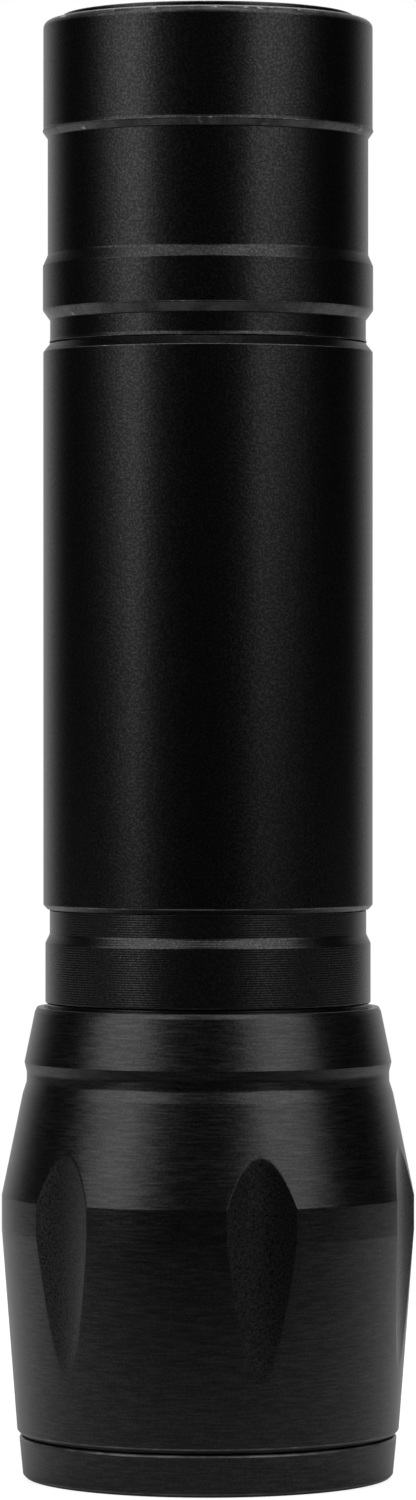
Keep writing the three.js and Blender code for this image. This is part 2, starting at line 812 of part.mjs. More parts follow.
// Plunger: a round head under the boot on a stem that enters the switch.
function switchPlunger() {
  const headRadius = bootCavityRadius - plungerHeadGap;
  return turned([
    [0, stemFoot],
    [plungerStemRadius, stemFoot],
    [plungerStemRadius, stemTop],
    [headRadius, stemTop],
    [headRadius, plungerTop],
    [0, plungerTop],
  ], innerSides);
}

// Switch body: a round block with a blind bore for the plunger and its spring.
function switchCase() {
  const caseRadius = switchSleeveRadius - layInGap;
  const stemBore = plungerStemRadius + layInGap;
  return turned([
    [0, holderFront],
    [caseRadius, holderFront],
    [caseRadius, holderRear],
    [stemBore, holderRear],
    [stemBore, switchSpringFloor],
    [0, switchSpringFloor],
  ], innerSides);
}

// Holder: a sleeve round the switch body that presses the boot's flange home.
function switchHolder() {
  return turned([
    [switchSleeveRadius, holderFront],
    [switchHolderRadius, holderFront],
    [switchHolderRadius, holderRear],
    [switchSleeveRadius, holderRear],
  ]);
}

// Retainer: a screwed ring with two slots in its front face for a pin wrench.
function switchRetainer() {
  const outer = boreRadius - threadGap;
  const hole = tailSpringRadius + tailSpringWire / 2 + retainerHoleGap;
  const rear = retainerFront + retainerThickness;
  const ring = turned([
    [hole, retainerFront],
    [outer, retainerFront],
    [outer, rear],
    [hole, rear],
  ]);
  const slotLength = 2 * (outer + reliefGap);
  const slot = new THREE.BoxGeometry(slotLength, retainerSlotWidth, 2 * retainerSlotDepth);
  slot.translate(0, 0, retainerFront);
  return cut(ring, slot);
}

// Head: the pieces that slide together.
function zoomHead() {
  const sealInner = bezelBoreRadius + (bezelSpigotWall - lensSealSection) / 2;
  const seal = piece("lens_seal", sealRing(sealInner, lensSealSection), blackRubber);
  return group(
    piece("bezel_ring", bezelRing(), turnedAnodised),
    at(bezelSpigotRear + seatGap + lensSealSection / 2, seal),
    piece("lens", lens(), clearAcrylic),
    piece("head_shell", headShell(), turnedAnodised),
  );
}

// The rubber ring that brakes and seals the sliding head.
function zoomSeal() {
  const inner = headBoreRadius - zoomSealPlay - zoomSealSection;
  return at(zoomSealMiddle, piece("zoom_o_ring", sealRing(inner, zoomSealSection), blackRubber));
}

// Emitter on its star board, the pill that cools it, and the driver in the pill's cup.
function lightEngine() {
  const baseMiddle = ledBoardFront - seatGap - ledBaseHeight / 2;
  const domeFoot = ledBoardFront - 2 * seatGap - ledBaseHeight;
  const dome = turned([...domeOutline(-ledDomeRadius, ledDomeRadius, ledDomeRadius), [0, 0]], smallSides);
  const base = new THREE.BoxGeometry(ledBaseSide, ledBaseSide, ledBaseHeight);
  const chip = new THREE.BoxGeometry(chipSize, chipSize, chipHeight);
  const inductor = disc(inductorRadius, inductorHeight, smallSides);
  const driver = disc(pillCupRadius + driverLedge - layInGap, driverThickness);
  const spring = coilSpring("driver_spring", {
    radius: driverSpringRadius,
    wire: driverSpringWire,
    height: driverSpringHeight - 2 * seatGap,
    turns: driverSpringTurns,
  });
  const partsTop = driverFront - seatGap;
  return group(
    at(domeFoot, piece("led_dome", dome, emitterDome)),
    at(baseMiddle, piece("led_base", base, emitterCeramic)),
    at(ledBoardFront, piece("led_board", starBoard(), whiteSolderMask)),
    ledLead("led_lead_positive", 1, redSleeve),
    ledLead("led_lead_negative", -1, blackSleeve),
    piece("led_pill", ledPill(), bareAluminium),
    at(partsTop - inductorHeight, piece("driver_inductor", inductor, blackPlastic), 0, inductorOffset),
    at(partsTop - chipHeight / 2, piece("driver_chip", chip, blackPlastic), 0, -chipOffset),
    at(driverFront, piece("driver_board", driver, greenSolderMask)),
    at(pillRear + seatGap, spring),
  );
}

// Switch module: retainer, board with the contact spring, holder, switch, plunger and boot.
function switchModule() {
  const board = disc(switchHolderRadius, switchBoardThickness);
  const contactSpring = coilSpring("tail_spring", {
    radius: tailSpringRadius,
    wire: tailSpringWire,
    height: switchBoardFront - cageRear - 2 * seatGap,
    turns: tailSpringTurns,
  });
  const returnSpring = coilSpring("switch_spring", {
    radius: switchSpringRadius,
    wire: switchSpringWire,
    height: switchSpringHeight,
    turns: switchSpringTurns,
  });
  return group(
    at(cageRear + seatGap, contactSpring),
    piece("switch_retainer", switchRetainer(), bareAluminium),
    at(switchBoardFront, piece("switch_board", board, greenSolderMask)),
    piece("switch_holder", switchHolder(), blackPlastic),
    piece("switch_case", switchCase(), blackPlastic),
    at(switchSpringFloor + seatGap, returnSpring),
    piece("switch_plunger", switchPlunger(), blackPlastic),
    piece("switch_boot", switchBoot(), blackRubber),
  );
}

// Tail: the cap with its seal and the switch module inside it.
function tail() {
  const sealInner = socketRadius - tailSealPlay - tailSealSection;
  const sealMiddle = capFront - tailSealSetback - (tailSealSection + tailSealSlack) / 2;
  return group(
    piece("tail_cap", tailCap(), blackAnodised),
    at(sealMiddle, piece("tail_o_ring", sealRing(sealInner, tailSealSection), blackRubber)),
    switchModule(),
  );
}

export default group(
  zoomHead(),
  zoomSeal(),
  piece("neck", neck(), turnedAnodised),
  piece("body_tube", bodyTube(), blackAnodised),
  lightEngine(),
  cellCage(),
  tail(),
);
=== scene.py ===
import math

import bpy
import numpy as np
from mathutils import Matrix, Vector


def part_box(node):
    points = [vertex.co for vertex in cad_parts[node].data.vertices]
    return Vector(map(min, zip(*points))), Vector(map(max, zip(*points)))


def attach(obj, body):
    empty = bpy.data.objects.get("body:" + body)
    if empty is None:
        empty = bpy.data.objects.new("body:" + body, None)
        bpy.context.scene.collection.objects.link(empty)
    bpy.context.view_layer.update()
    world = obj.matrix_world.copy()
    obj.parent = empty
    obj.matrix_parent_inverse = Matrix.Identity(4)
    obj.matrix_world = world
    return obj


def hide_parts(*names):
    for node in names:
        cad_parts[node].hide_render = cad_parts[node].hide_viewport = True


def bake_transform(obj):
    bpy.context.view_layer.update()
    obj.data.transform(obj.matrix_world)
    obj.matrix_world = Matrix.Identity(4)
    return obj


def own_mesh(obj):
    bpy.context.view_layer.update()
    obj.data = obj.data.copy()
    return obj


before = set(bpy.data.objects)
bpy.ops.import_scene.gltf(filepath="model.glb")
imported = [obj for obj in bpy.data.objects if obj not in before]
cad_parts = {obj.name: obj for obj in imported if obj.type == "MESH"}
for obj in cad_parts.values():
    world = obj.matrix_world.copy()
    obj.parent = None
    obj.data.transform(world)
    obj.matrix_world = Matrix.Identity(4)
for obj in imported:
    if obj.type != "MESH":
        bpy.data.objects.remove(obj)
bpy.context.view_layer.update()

# Zoom head
# The sliding head is one turned aluminium piece: a long taper, a widest band, a cone, a cove
# and a collar, with six flutes milled by a round cutter and a fine turned finish in black.
mm = 0.001
head_front, head_rear = (corner.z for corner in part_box("head_shell"))
head_wide_radius = 16.597 * mm
head_front_radius = 15.357 * mm
head_socket_radius = 14.397 * mm
chamber_radius = 13.747 * mm
head_bore_radius = 12.947 * mm
cone_top_radius = 14.847 * mm
cove_radius = 14.577 * mm
collar_radius = 14.767 * mm
collar_rear_radius = 13.927 * mm
lens_seat = 9.19 * mm
head_wide = 19.91 * mm
head_shoulder = 22.64 * mm
head_stop = 25.79 * mm
cone_top = 30.85 * mm
cove_lip = 0.05 * mm
cove_start = 31.75 * mm
cove_floor = 32.54 * mm
collar_front = 33.34 * mm
head_edge = 0.3 * mm
sharp_edge = 0.05 * mm
crisp_edge = 0.08 * mm
broken_edge = 0.1 * mm
collar_edge = (0.17 * mm, 0.36 * mm)
flute_count = 6
flute_phase = math.radians(15)
flute_cutter = 7.2 * mm
flute_floor = head_wide_radius - 0.82 * mm
flute_edge = 0.012 * mm
flute_tip = math.radians(0.5)
flute_columns = 26
land_columns = 38
flute_front, flute_rear = 8.9 * mm, 27 * mm
flute_rows = np.linspace(flute_front, flute_rear, 92)


def rounded(corners, painted_sheen_sides=(), sheen_strength=0.85, steps=6, hold=0.05 * mm):
    """A closed outline of (radius, height, wear) points with every corner rounded.

    A corner is (radius, height, rounding). A corner that turns by the angle t is cut back along
    both sides by rounding * tan(t / 2), but by no more than 0.4 of the shorter side, and its
    heading turns evenly along the arc between. A point close to each end of the arc, hold away
    or 0.08 of the side, keeps the straight sides straight in the shading. Wear is 1 at the middle
    of an outer corner of 30 degrees or more, and falls to 0 at its ends. Along the sides that leave
    the corners listed for painted sheen, the mark is held at the sheen strength instead: there it
    is not wear but a painted reflection of the floor.
    """
    corners = np.array(corners, float)
    place = corners[:, :2]
    arriving = place - np.roll(place, 1, axis=0)
    leaving = np.roll(arriving, -1, axis=0)
    reach_in = np.linalg.norm(arriving, axis=1)
    reach_out = np.roll(reach_in, -1)
    heading = np.arctan2(arriving[:, 1], arriving[:, 0])
    turn = np.arctan2(leaving[:, 1], leaving[:, 0]) - heading
    turn = (turn + np.pi) % (2 * np.pi) - np.pi
    slope = np.maximum(np.tan(np.abs(turn) / 2), 1e-6)
    cut_back = np.minimum(corners[:, 2] * slope, 0.4 * np.minimum(reach_in, reach_out))
    signed = np.sign(turn) * cut_back / slope
    start = place - arriving * (cut_back / reach_in)[:, None]
    finish = place + leaving * (cut_back / reach_out)[:, None]
    angle = heading[:, None] + turn[:, None] * np.linspace(0, 1, steps + 1)
    arc = start[:, None] + signed[:, None, None] * np.stack(
        [np.sin(angle) - np.sin(heading)[:, None], np.cos(heading)[:, None] - np.cos(angle)], axis=2
    )
    before = start - arriving * (np.minimum(hold / reach_in, 0.08))[:, None]
    after = finish + leaving * (np.minimum(hold / reach_out, 0.08))[:, None]
    outline = np.concatenate([before[:, None], arc, after[:, None]], axis=1).reshape(-1, 2)
    wear_and_sheen = np.sin(np.pi * np.clip(np.linspace(-1, steps + 1, steps + 3) / steps, 0, 1))
    wear_and_sheen = np.outer(turn > np.radians(30), wear_and_sheen)
    # On the sides listed for it, the mark is a painted reflection of the floor, not wear.
    wear_and_sheen[list(painted_sheen_sides), -1] = sheen_strength
    wear_and_sheen[[side + 1 for side in painted_sheen_sides], 0] = sheen_strength
    return np.column_stack([outline, wear_and_sheen.ravel()])


def with_rows(outline, heights, first_radius, first, last_radius, last):
    """The outline with the stretch between its points nearest to two given ones sampled at the
    given heights too: the radius between its own points runs straight."""
    begin = np.argmin(np.abs(outline[:, 1] - first) + np.abs(outline[:, 0] - first_radius))
    end = np.argmin(np.abs(outline[:, 1] - last) + np.abs(outline[:, 0] - last_radius)) + 1
    radius, height, wear_and_sheen = outline[begin:end].T
    rows = np.sort(np.concatenate([height, heights]))
    dense = np.column_stack([np.interp(rows, height, radius), rows, np.interp(rows, height, wear_and_sheen)])
    return np.concatenate([outline[:begin], dense, outline[end:]])


def revolved(outline, turns, reshape=None, capped=False, full_cut=0.05 * mm):
    """Points, faces and marks of an outline carried round the Z axis.

    The grid's two parameters are the place along the outline and the turn about the axis. A
    capped outline starts and ends on the axis, where each end is one point; any other closes on
    itself. reshape(radius, height, turn) may change the radius. The marks are the outline's wear
    and painted sheen, and how far the radius was cut back as a share of full_cut.
    """
    ring = outline[1:-1] if capped else outline
    radius, height = ring[:, :1], ring[:, 1:2]
    turns = np.broadcast_to(turns, (len(ring), np.shape(turns)[-1]))
    reach = np.broadcast_to(radius if reshape is None else reshape(radius, height, turns), turns.shape)
    up = np.broadcast_to(height, turns.shape)
    points = np.stack([reach * np.cos(turns), reach * np.sin(turns), up], axis=2).reshape(-1, 3)
    wear_and_sheen = ring[:, 2:] if ring.shape[1] > 2 else np.zeros_like(radius)
    marks = {
        "wear_and_sheen": np.broadcast_to(wear_and_sheen, turns.shape).ravel(),
        "cut": np.clip((radius - reach) / full_cut, 0, 1).ravel(),
    }
    index = np.arange(turns.size).reshape(turns.shape)
    beside = np.roll(index, -1, axis=1)
    quads = np.stack([index, beside, np.roll(beside, -1, axis=0), np.roll(index, -1, axis=0)], axis=2)
    if not capped:
        return points, quads.reshape(-1, 4).tolist(), marks
    poles = np.stack([[0, 0, outline[0, 1]], [0, 0, outline[-1, 1]]])
    foot = np.stack([np.full(turns.shape[1], len(points)), beside[0], index[0]], axis=1)
    head = np.stack([index[-1], beside[-1], np.full(turns.shape[1], len(points) + 1)], axis=1)
    faces = quads[:-1].reshape(-1, 4).tolist() + foot.tolist() + head.tolist()
    marks = {name: np.append(mark, [0, 0]) for name, mark in marks.items()}
    return np.concatenate([points, poles]), faces, marks


def even_turns(columns=256):
    """Evenly spaced turns about the axis."""
    return np.arange(columns) * (2 * np.pi / columns)


def add_piece(name, shape, finish, node, body):
    """A smooth piece from points and faces that stands for a node and rides on its body."""
    points, faces, marks = shape
    mesh = bpy.data.meshes.new(name)
    mesh.from_pydata(points.tolist(), [], faces)
    mesh.update()
    for mark, values in marks.items():
        mesh.attributes.new(mark, "FLOAT", "POINT").data.foreach_set("value", values.astype(np.float32))
    mesh.shade_smooth()
    mesh.materials.append(finish)
    piece = bpy.data.objects.new(name, mesh)
    bpy.context.scene.collection.objects.link(piece)
    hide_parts(node)
    if body:
        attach(piece, body)
    return piece


def node_finish(name, colour, roughness, metallic=0.0, level=0.5):
    """A new material and its shader, with the values that are the same all over it."""
    material = bpy.data.materials.new(name)
    material.use_nodes = True
    shader = material.node_tree.nodes["Principled BSDF"]
    shader.inputs["Base Color"].default_value = (*colour, 1)
    shader.inputs["Roughness"].default_value = roughness
    shader.inputs["Metallic"].default_value = metallic
    shader.inputs["Specular IOR Level"].default_value = level
    return material, shader


def add_noise(material, scale, detail=3.0, stretch=(1, 1, 1)):
    """Noise on Object coordinates, with scale cells in a metre, drawn finer by stretch."""
    tree = material.node_tree
    place = tree.nodes.new("ShaderNodeTexCoord")
    mapping = tree.nodes.new("ShaderNodeMapping")
    mapping.inputs["Scale"].default_value = stretch
    noise = tree.nodes.new("ShaderNodeTexNoise")
    noise.inputs["Scale"].default_value = scale
    noise.inputs["Detail"].default_value = detail
    tree.links.new(place.outputs["Object"], mapping.inputs["Vector"])
    tree.links.new(mapping.outputs["Vector"], noise.inputs["Vector"])
    return noise.outputs["Fac"]


def tint(material, value, dark, pale, socket):
    """Mixes two colours by a value into a colour socket."""
    ramp = material.node_tree.nodes.new("ShaderNodeValToRGB")
    ramp.color_ramp.elements[0].position = 0.35
    ramp.color_ramp.elements[1].position = 0.7
    ramp.color_ramp.elements[0].color = (*dark, 1)
    ramp.color_ramp.elements[1].color = (*pale, 1)
    material.node_tree.links.new(value, ramp.inputs["Fac"])
    material.node_tree.links.new(ramp.outputs["Color"], socket)


def read_mark(material, name):
    """A mark stored on the mesh's points."""
    attribute = material.node_tree.nodes.new("ShaderNodeAttribute")
    attribute.attribute_name = name
    return attribute.outputs["Fac"]


def combined(owner, operation, first, second):
    """Two values put together, such as by MULTIPLY, in the nodes of a material or of the world."""
    both = owner.node_tree.nodes.new("ShaderNodeMath")
    both.operation = operation
    owner.node_tree.links.new(first, both.inputs[0])
    owner.node_tree.links.new(second, both.inputs[1])
    return both.outputs["Value"]


def ramped(owner, value, own_range, new_range, smooth=False):
    """A value spread from its own range to a new one, and held within it."""
    ramp = owner.node_tree.nodes.new("ShaderNodeMapRange")
    ramp.interpolation_type = "SMOOTHSTEP" if smooth else "LINEAR"
    ramp.inputs["From Min"].default_value = own_range[0]
    ramp.inputs["From Max"].default_value = own_range[1]
    ramp.inputs["To Min"].default_value = new_range[0]
    ramp.inputs["To Max"].default_value = new_range[1]
    owner.node_tree.links.new(value, ramp.inputs["Value"])
    return ramp.outputs["Result"]


def worn_and_sheen_black(material, shader, grain, gloss=(0.33, 0.62), worn_and_sheen_grey=0.085, bare=0.42):
    """Black anodising with a little grain in it, thinned to grey in patches along the edges and
    nicked through to the metal in a few spots there. On the sides marked for it, the same grey in
    patches is not wear but a painted reflection of the floor."""
    tree = material.node_tree
    patches = ramped(material, add_noise(material, scale=700, detail=4.0), (0.4, 0.6), (0.45, 1))
    # The mark is wear at outer corners and a painted reflection of the floor on the sides listed for it;
    # both turn the colour grey in patches.
    wear_and_sheen = read_mark(material, "wear_and_sheen")
    edges = combined(material, "MULTIPLY", wear_and_sheen, patches)
    mix = tree.nodes.new("ShaderNodeMix")
    mix.data_type = "RGBA"
    chipped = combined(material, "MULTIPLY", wear_and_sheen, add_noise(material, scale=1100, detail=2.0))
    nicks = ramped(material, chipped, (0.58, 0.64), (worn_and_sheen_grey, bare))
    tree.links.new(nicks, mix.inputs["B"])
    tree.links.new(edges, mix.inputs["Factor"])
    tint(material, grain, (0.0001, 0.0001, 0.0001), (0.0007, 0.0007, 0.0008), mix.inputs["A"])
    tree.links.new(mix.outputs["Result"], shader.inputs["Base Color"])
    level = ramped(material, grain, (0.42, 0.72), gloss)
    tree.links.new(level, shader.inputs["Specular IOR Level"])


def relief(material, shader, layers):
    """Stacks bumps on a shader's normal: each layer is (height value, depth in metres)."""
    tree = material.node_tree
    normal = None
    for value, depth in layers:
        bump = tree.nodes.new("ShaderNodeBump")
        bump.inputs["Distance"].default_value = depth
        tree.links.new(value, bump.inputs["Height"])
        if normal:
            tree.links.new(normal, bump.inputs["Normal"])
        normal = bump.outputs["Normal"]
    tree.links.new(normal, shader.inputs["Normal"])


def turned_black():
    """Black anodising over a turned surface: short streaks that follow the lathe, with some grain
    among them, and grain alone where a flute was cut."""
    material, shader = node_finish("turned_black", (0.001, 0.001, 0.001), 0.33, level=0.42)
    tree = material.node_tree
    streaks = add_noise(material, scale=2000, detail=2.0, stretch=(0.3, 0.3, 3.2))
    grain = add_noise(material, scale=6000, detail=1.0)
    grain_share = ramped(material, read_mark(material, "cut"), (0, 1), (0.4, 1))
    texture = tree.nodes.new("ShaderNodeMix")
    tree.links.new(grain_share, texture.inputs["Factor"])
    tree.links.new(streaks, texture.inputs["A"])
    tree.links.new(grain, texture.inputs["B"])
    roughness = ramped(material, texture.outputs["Result"], (0.3, 0.7), (0.27, 0.35))
    tree.links.new(roughness, shader.inputs["Roughness"])
    worn_and_sheen_black(material, shader, texture.outputs["Result"], gloss=(0.33, 0.64), bare=0.2)
    relief(material, shader, [(texture.outputs["Result"], 0.006 * mm), (grain, 0.004 * mm)])
    return material


def fluted(radius, height, turns):
    """The radius where a round cutter beside the head has cut: with the cutter's axis at the
    distance d and its radius c, d cos a - sqrt(c^2 - d^2 sin^2 a) at the angle a from the flute's
    middle. The lesser of it and the head's own radius is taken, with a small round between."""
    middle = (turns - flute_phase + np.pi / 2 + np.pi / flute_count) % (2 * np.pi / flute_count)
    angle = middle - np.pi / flute_count
    distance = flute_floor + flute_cutter
    under = np.maximum(flute_cutter**2 - (distance * np.sin(angle)) ** 2, 0)
    cut = np.where(under > 0, distance * np.cos(angle) - np.sqrt(under), 1.0)
    mean = (radius + cut) / 2
    return mean - np.sqrt(((radius - cut) / 2) ** 2 + flute_edge**2 * (radius > flute_floor * 0.97))


def flute_turns(radius):
    """Turns of the head's columns in each row, packed towards the flute's two edges, which lie
    where the cutter's circle meets the head's: cos a = (d^2 + r^2 - c^2) / (2 d r)."""
    distance = flute_floor + flute_cutter
    meeting = (distance**2 + radius**2 - flute_cutter**2) / (2 * distance * radius)
    half = np.maximum(np.arccos(np.clip(meeting, -1, 1)) * (radius > flute_floor), flute_tip)
    across = np.sin(np.linspace(-0.5, 0.5, flute_columns, endpoint=False) * np.pi)
    along = (1 - np.cos(np.linspace(0, 1, land_columns, endpoint=False) * np.pi)) / 2
    pitch = 2 * np.pi / flute_count
    sector = np.concatenate([half * across, half + (pitch - 2 * half) * along], axis=1)
    starts = flute_phase - np.pi / 2 + pitch * np.arange(flute_count)
    return (sector[:, None, :] + starts[None, :, None]).reshape(len(radius), -1)


head_outline = with_rows(
    rounded([
        (head_socket_radius, head_front, crisp_edge),
        (head_front_radius - head_edge, head_front, 0.2 * mm),
        (head_front_radius, head_front + head_edge, 0.25 * mm),
        (head_wide_radius, head_wide, 0.5 * mm),
        (head_wide_radius, head_shoulder, 0.35 * mm),
        (cone_top_radius + cove_lip, cone_top, 0.3 * mm),
        (cove_radius + cove_lip / 2, cove_start, 0.7 * mm),
        (cove_radius, cove_floor, 1.2 * mm),
        (collar_radius, collar_front, crisp_edge),
        (collar_rear_radius, head_rear - collar_edge[1], crisp_edge),
        (collar_rear_radius - collar_edge[0], head_rear, 0.06 * mm),
        (head_bore_radius + head_edge, head_rear, 0.06 * mm),
        (head_bore_radius, head_rear - head_edge, broken_edge),
        (head_bore_radius, head_stop, broken_edge),
        (chamber_radius, head_stop, broken_edge),
        (chamber_radius, lens_seat, sharp_edge),
        (head_socket_radius, lens_seat, sharp_edge),
    ]),
    flute_rows, head_front_radius, head_front + 2 * head_edge, cone_top_radius, cone_top - head_edge,
)
turned_finish = turned_black()
add_piece(
    "head_shell_turned",
    revolved(head_outline, flute_turns(head_outline[:, :1]), fluted),
    turned_finish, "head_shell", "zoom_head",
)

# Front ring
# A tapered aluminium ring that screws into the head and clamps the lens. Its flat front face is
# what the light stands on, and its mouth is bevelled towards the lens.
ring_front, ring_spigot_rear = (corner.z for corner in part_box("bezel_ring"))
ring_rear = 3.34 * mm
ring_radius = 15.197 * mm
ring_front_radius = 14.897 * mm
ring_spigot_radius = 14.277 * mm
ring_bore_radius = 12.477 * mm
ring_lip_radius = 11.877 * mm
ring_mouth_radius = 12.677 * mm
ring_mouth_depth = 1.5 * mm
ring_lip_rear = 2.3 * mm
ring_front_edge = 0.24 * mm
ring_rear_edge = 0.22 * mm
ring_outline = rounded([
    (ring_lip_radius, ring_mouth_depth, broken_edge),
    (ring_mouth_radius, ring_front, 0.12 * mm),
    (ring_front_radius - ring_front_edge, ring_front, broken_edge),
    (ring_front_radius, ring_front + ring_front_edge, 0.14 * mm),
    (ring_radius, ring_rear, ring_rear_edge),
    (ring_spigot_radius, ring_rear, sharp_edge),
    (ring_spigot_radius, ring_spigot_rear, 0.15 * mm),
    (ring_bore_radius, ring_spigot_rear, broken_edge),
    (ring_bore_radius, ring_lip_rear, broken_edge),
    (ring_lip_radius, ring_lip_rear, broken_edge),
])
add_piece(
    "bezel_ring_turned", revolved(ring_outline, even_turns()),
    turned_finish, "bezel_ring", "zoom_head",
)

# Lens
# A moulded acrylic lens, flat behind and domed in front, with a flange that the front ring
# presses against its seat in the head.
lens_back = 9.14 * mm
lens_flange_front = 7.74 * mm
lens_radius = 14.247 * mm
lens_dome_radius = 12.197 * mm
lens_crown = 1.1 * mm
lens_edge = 0.15 * mm


def dome(crown, rim_radius, rim, steps=40):
    """Points of a round dome from its crown on the axis to its rim: with the rise h and the rim's
    radius a, the curve's radius is (a^2 + h^2) / 2h, and equal angles are taken along it."""
    rise = rim - crown
    curve = (rim_radius**2 + rise**2) / (2 * rise)
    angle = np.linspace(0, np.arctan2(rim_radius, curve - rise), steps)
    return np.stack([curve * np.sin(angle), crown + curve * (1 - np.cos(angle))], axis=1)


def clear_acrylic():
    """Clear acrylic with a faint ripple from its mould."""
    material, shader = node_finish("clear_acrylic", (0.97, 0.985, 0.98), 0.02)
    shader.inputs["Transmission Weight"].default_value = 1.0
    shader.inputs["IOR"].default_value = 1.49
    relief(material, shader, [(add_noise(material, scale=180, detail=1.0), 0.002 * mm)])
    return material


lens_outline = np.concatenate([
    dome(lens_crown, lens_dome_radius, lens_flange_front),
    [
        (lens_radius - lens_edge, lens_flange_front),
        (lens_radius, lens_flange_front + lens_edge),
        (lens_radius, lens_back - lens_edge),
        (lens_radius - lens_edge, lens_back),
        (0, lens_back),
    ],
])
add_piece(
    "lens_moulded", revolved(lens_outline, even_turns(192), capped=True),
    clear_acrylic(), "lens", "zoom_head",
)

# Rubber rings
# Moulded black rubber rings: one under the front ring that seals the lens, one in the neck that
# brakes the sliding head, and one on the tail cap's spigot.
seal_columns = 24


def seal_ring(node):
    """A ring of round section in a node's box. The CAD's section is a hexagon lying on a side, so
    the round one through its corners has the box's height over the root of 3 as its radius. The
    parameters are the section's angle and the turn about the axis."""
    low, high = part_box(node)
    section = (high.z - low.z) / math.sqrt(3)
    middle = (high.x - low.x) / 2 - section
    angle = even_turns(seal_columns)
    outline = np.stack([
        middle + section * np.cos(angle),
        (low.z + high.z) / 2 + section * np.sin(angle),
    ], axis=1)
    return revolved(outline, even_turns(192))


def black_rubber():
    """Matte black rubber with a fine moulded grain."""
    material, shader = node_finish("black_rubber", (0.012, 0.012, 0.012), 0.72, level=0.35)
    grain = add_noise(material, scale=3800)
    roughness = ramped(material, grain, (0.3, 0.7), (0.62, 0.82))
    material.node_tree.links.new(roughness, shader.inputs["Roughness"])
    tint(material, grain, (0.009, 0.009, 0.009), (0.017, 0.017, 0.016), shader.inputs["Base Color"])
    relief(material, shader, [(grain, 0.012 * mm)])
    return material


rubber_finish = black_rubber()
for seal_node, seal_body in (
    ("lens_seal", "zoom_head"), ("zoom_o_ring", "zoom_seal"), ("tail_o_ring", "tail_seal"),
):
    add_piece(
        seal_node + "_moulded", seal_ring(seal_node), rubber_finish, seal_node, seal_body,
    )

# Light engine
# An aluminium pill screwed into the neck carries the white star board with the emitter and its
# two leads in front, and the green driver board with its spring behind.
emitter_front, emitter_rear = (corner.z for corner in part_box("led_dome"))
emitter_radius = 1.5 * mm
driver_wire, driver_spring_turns = 0.6 * mm, 2.6


def grained(name, dark, pale, roughness, metallic=0.0, scale=1500, depth=0.004 * mm):
    """A finish with a fine grain in its colour, gloss and surface."""
    material, shader = node_finish(name, pale, roughness, metallic)
    grain = add_noise(material, scale)
    uneven = ramped(material, grain, (0.3, 0.7), (roughness * 0.85, roughness * 1.15))
    material.node_tree.links.new(uneven, shader.inputs["Roughness"])
    tint(material, grain, dark, pale, shader.inputs["Base Color"])
    relief(material, shader, [(grain, depth)])
    return material


def dress(finish, *nodes):
    """Gives a finish to pieces that keep the mesh of the CAD."""
    for node in nodes:
        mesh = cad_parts[node].data
        mesh.materials.clear()
        mesh.materials.append(finish)


def coil(node, wire, turns, sides=12, end=0.35, turn_steps=40, tip_turns=1 / 12):
    """A spring wound round the middle of a node's box, with closed ends.

    The parameters are the share of the winding and the angle round the wire. The middle of the
    wire runs round at an even pace. It rises from end turns after one tip to end turns before the
    other, mostly evenly and partly by a smooth step, and is rounded off over each tip's tip_turns.
    """
    low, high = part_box(node)
    share = np.linspace(0, 1, int(turns * turn_steps))
    angle = 2 * np.pi * turns * share
    rise = np.clip((share * turns - end) / (turns - 2 * end), 0, 1)
    rise = 0.8 * rise + 0.2 * rise**2 * (3 - 2 * rise)
    tip = np.clip(np.minimum(share, 1 - share) * turns / tip_turns, 0.02, 1)
    thick = wire / 2 * np.sqrt(1 - (1 - tip) ** 2)
    around = np.arange(sides) * (2 * np.pi / sides)
    reach = (high.x - low.x) / 2 - wire / 2 + np.outer(thick, np.cos(around))
    up = low.z + wire / 2 + (high.z - low.z - wire) * rise[:, None] + np.outer(thick, np.sin(around))
    points = np.stack([
        (low.x + high.x) / 2 + reach * np.cos(angle)[:, None],
        (low.y + high.y) / 2 + reach * np.sin(angle)[:, None],
        up,
    ], axis=2).reshape(-1, 3)
    index = np.arange(len(points)).reshape(len(share), sides)
    beside = np.roll(index, -1, axis=1)
    quads = np.stack([index[:-1], index[1:], beside[1:], beside[:-1]], axis=2).reshape(-1, 4).tolist()
    return points, quads + [index[0].tolist(), index[-1, ::-1].tolist()], {}


aluminium_finish = grained("bare_aluminium", (0.60, 0.61, 0.63), (0.72, 0.73, 0.75), 0.34, 1.0)
plastic_finish = grained("black_plastic", (0.016, 0.016, 0.017), (0.026, 0.026, 0.027), 0.5)
green_finish = grained("green_board", (0.02, 0.10, 0.05), (0.03, 0.14, 0.07), 0.38)
spring_finish = grained("spring_steel", (0.42, 0.42, 0.43), (0.55, 0.55, 0.56), 0.28, 1.0)
dress(aluminium_finish, "led_pill")
dress(grained("white_board", (0.78, 0.79, 0.78), (0.86, 0.87, 0.86), 0.4), "led_board")
dress(grained("emitter_base", (0.80, 0.79, 0.75), (0.88, 0.87, 0.83), 0.5), "led_base")
dress(grained("red_sleeve", (0.30, 0.018, 0.015), (0.38, 0.028, 0.022), 0.45), "led_lead_positive")
dress(plastic_finish, "led_lead_negative", "driver_inductor", "driver_chip")
dress(green_finish, "driver_board")
emitter_outline = np.concatenate([dome(emitter_front, emitter_radius, emitter_rear), [(0, emitter_rear)]])
add_piece(
    "led_dome_moulded", revolved(emitter_outline, even_turns(64), capped=True),
    grained("emitter_dome", (0.85, 0.62, 0.10), (0.92, 0.72, 0.16), 0.12),
    "led_dome", "barrel",
)
add_piece(
    "driver_spring_wound", coil("driver_spring", driver_wire, driver_spring_turns),
    spring_finish, "driver_spring", "barrel",
)

